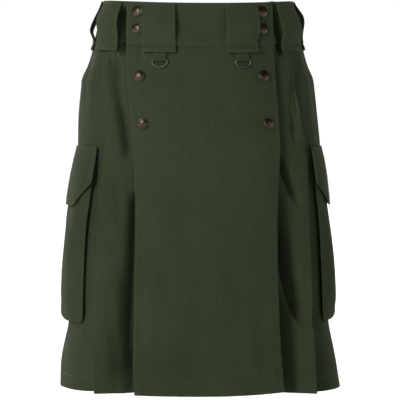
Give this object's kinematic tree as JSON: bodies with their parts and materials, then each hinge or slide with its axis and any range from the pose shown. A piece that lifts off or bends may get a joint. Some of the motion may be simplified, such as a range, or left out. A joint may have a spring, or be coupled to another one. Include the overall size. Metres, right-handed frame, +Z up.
{
  "type": "utility kilt",
  "caption": "Hollow worn-form kilt in olive cotton drill: snapped front apron, wide belt loops, side cargo pockets, hanging D-rings and a pleated back.",
  "frame": {"origin": "centre of the waistband's ring, half way up the band, where the wearer's waist holds the garment", "axes": "+Z up along the body, from hem to waist; the front faces -Y; +X is to the right as seen from the front"},
  "size_m": [0.452, 0.3212, 0.6185],
  "materials": {
    "drill": "matt olive green cotton drill, fine diagonal twill",
    "snap_metal": "antique bronze, brown with a soft shine",
    "ring_wire": "dark antique bronze, smooth"
  },
  "bodies": {
    "kilt": {"apron": "drill", "back_pleats": "drill", "side_panel_left": "drill", "side_panel_right": "drill", "waistband_main": "drill", "waistband_apron": "drill", "loop_front_left": "drill", "loop_front_right": "drill", "loop_hip_left": "drill", "loop_hip_right": "drill", "loop_side_left": "drill", "loop_side_right": "drill", "loop_back": "drill", "pocket_left": "drill", "pocket_right": "drill", "pocket_flap_left": "drill", "pocket_flap_right": "drill", "ring_tab_left": "drill", "ring_tab_right": "drill", "snap_band_upper_left": "snap_metal", "snap_band_upper_right": "snap_metal", "snap_band_lower_left": "snap_metal", "snap_band_lower_right": "snap_metal", "snap_apron_upper_left": "snap_metal", "snap_apron_upper_right": "snap_metal", "snap_apron_lower_left": "snap_metal", "snap_apron_lower_right": "snap_metal"},
    "ring_left": {"d_ring_left": "ring_wire"},
    "ring_right": {"d_ring_right": "ring_wire"}
  },
  "joints": [
    {"name": "ring_left_swing", "type": "hinge", "parent": "kilt", "child": "ring_left", "pos_m": [-0.06798, -0.12085, -0.06359], "axis": [-0.9771, 0.2109, 0.0265], "range_deg": [0, 150]},
    {"name": "ring_right_swing", "type": "hinge", "parent": "kilt", "child": "ring_right", "pos_m": [0.06173, -0.12202, -0.06379], "axis": [-0.9821, -0.1868, -0.0237], "range_deg": [0, 150]}
  ]
}
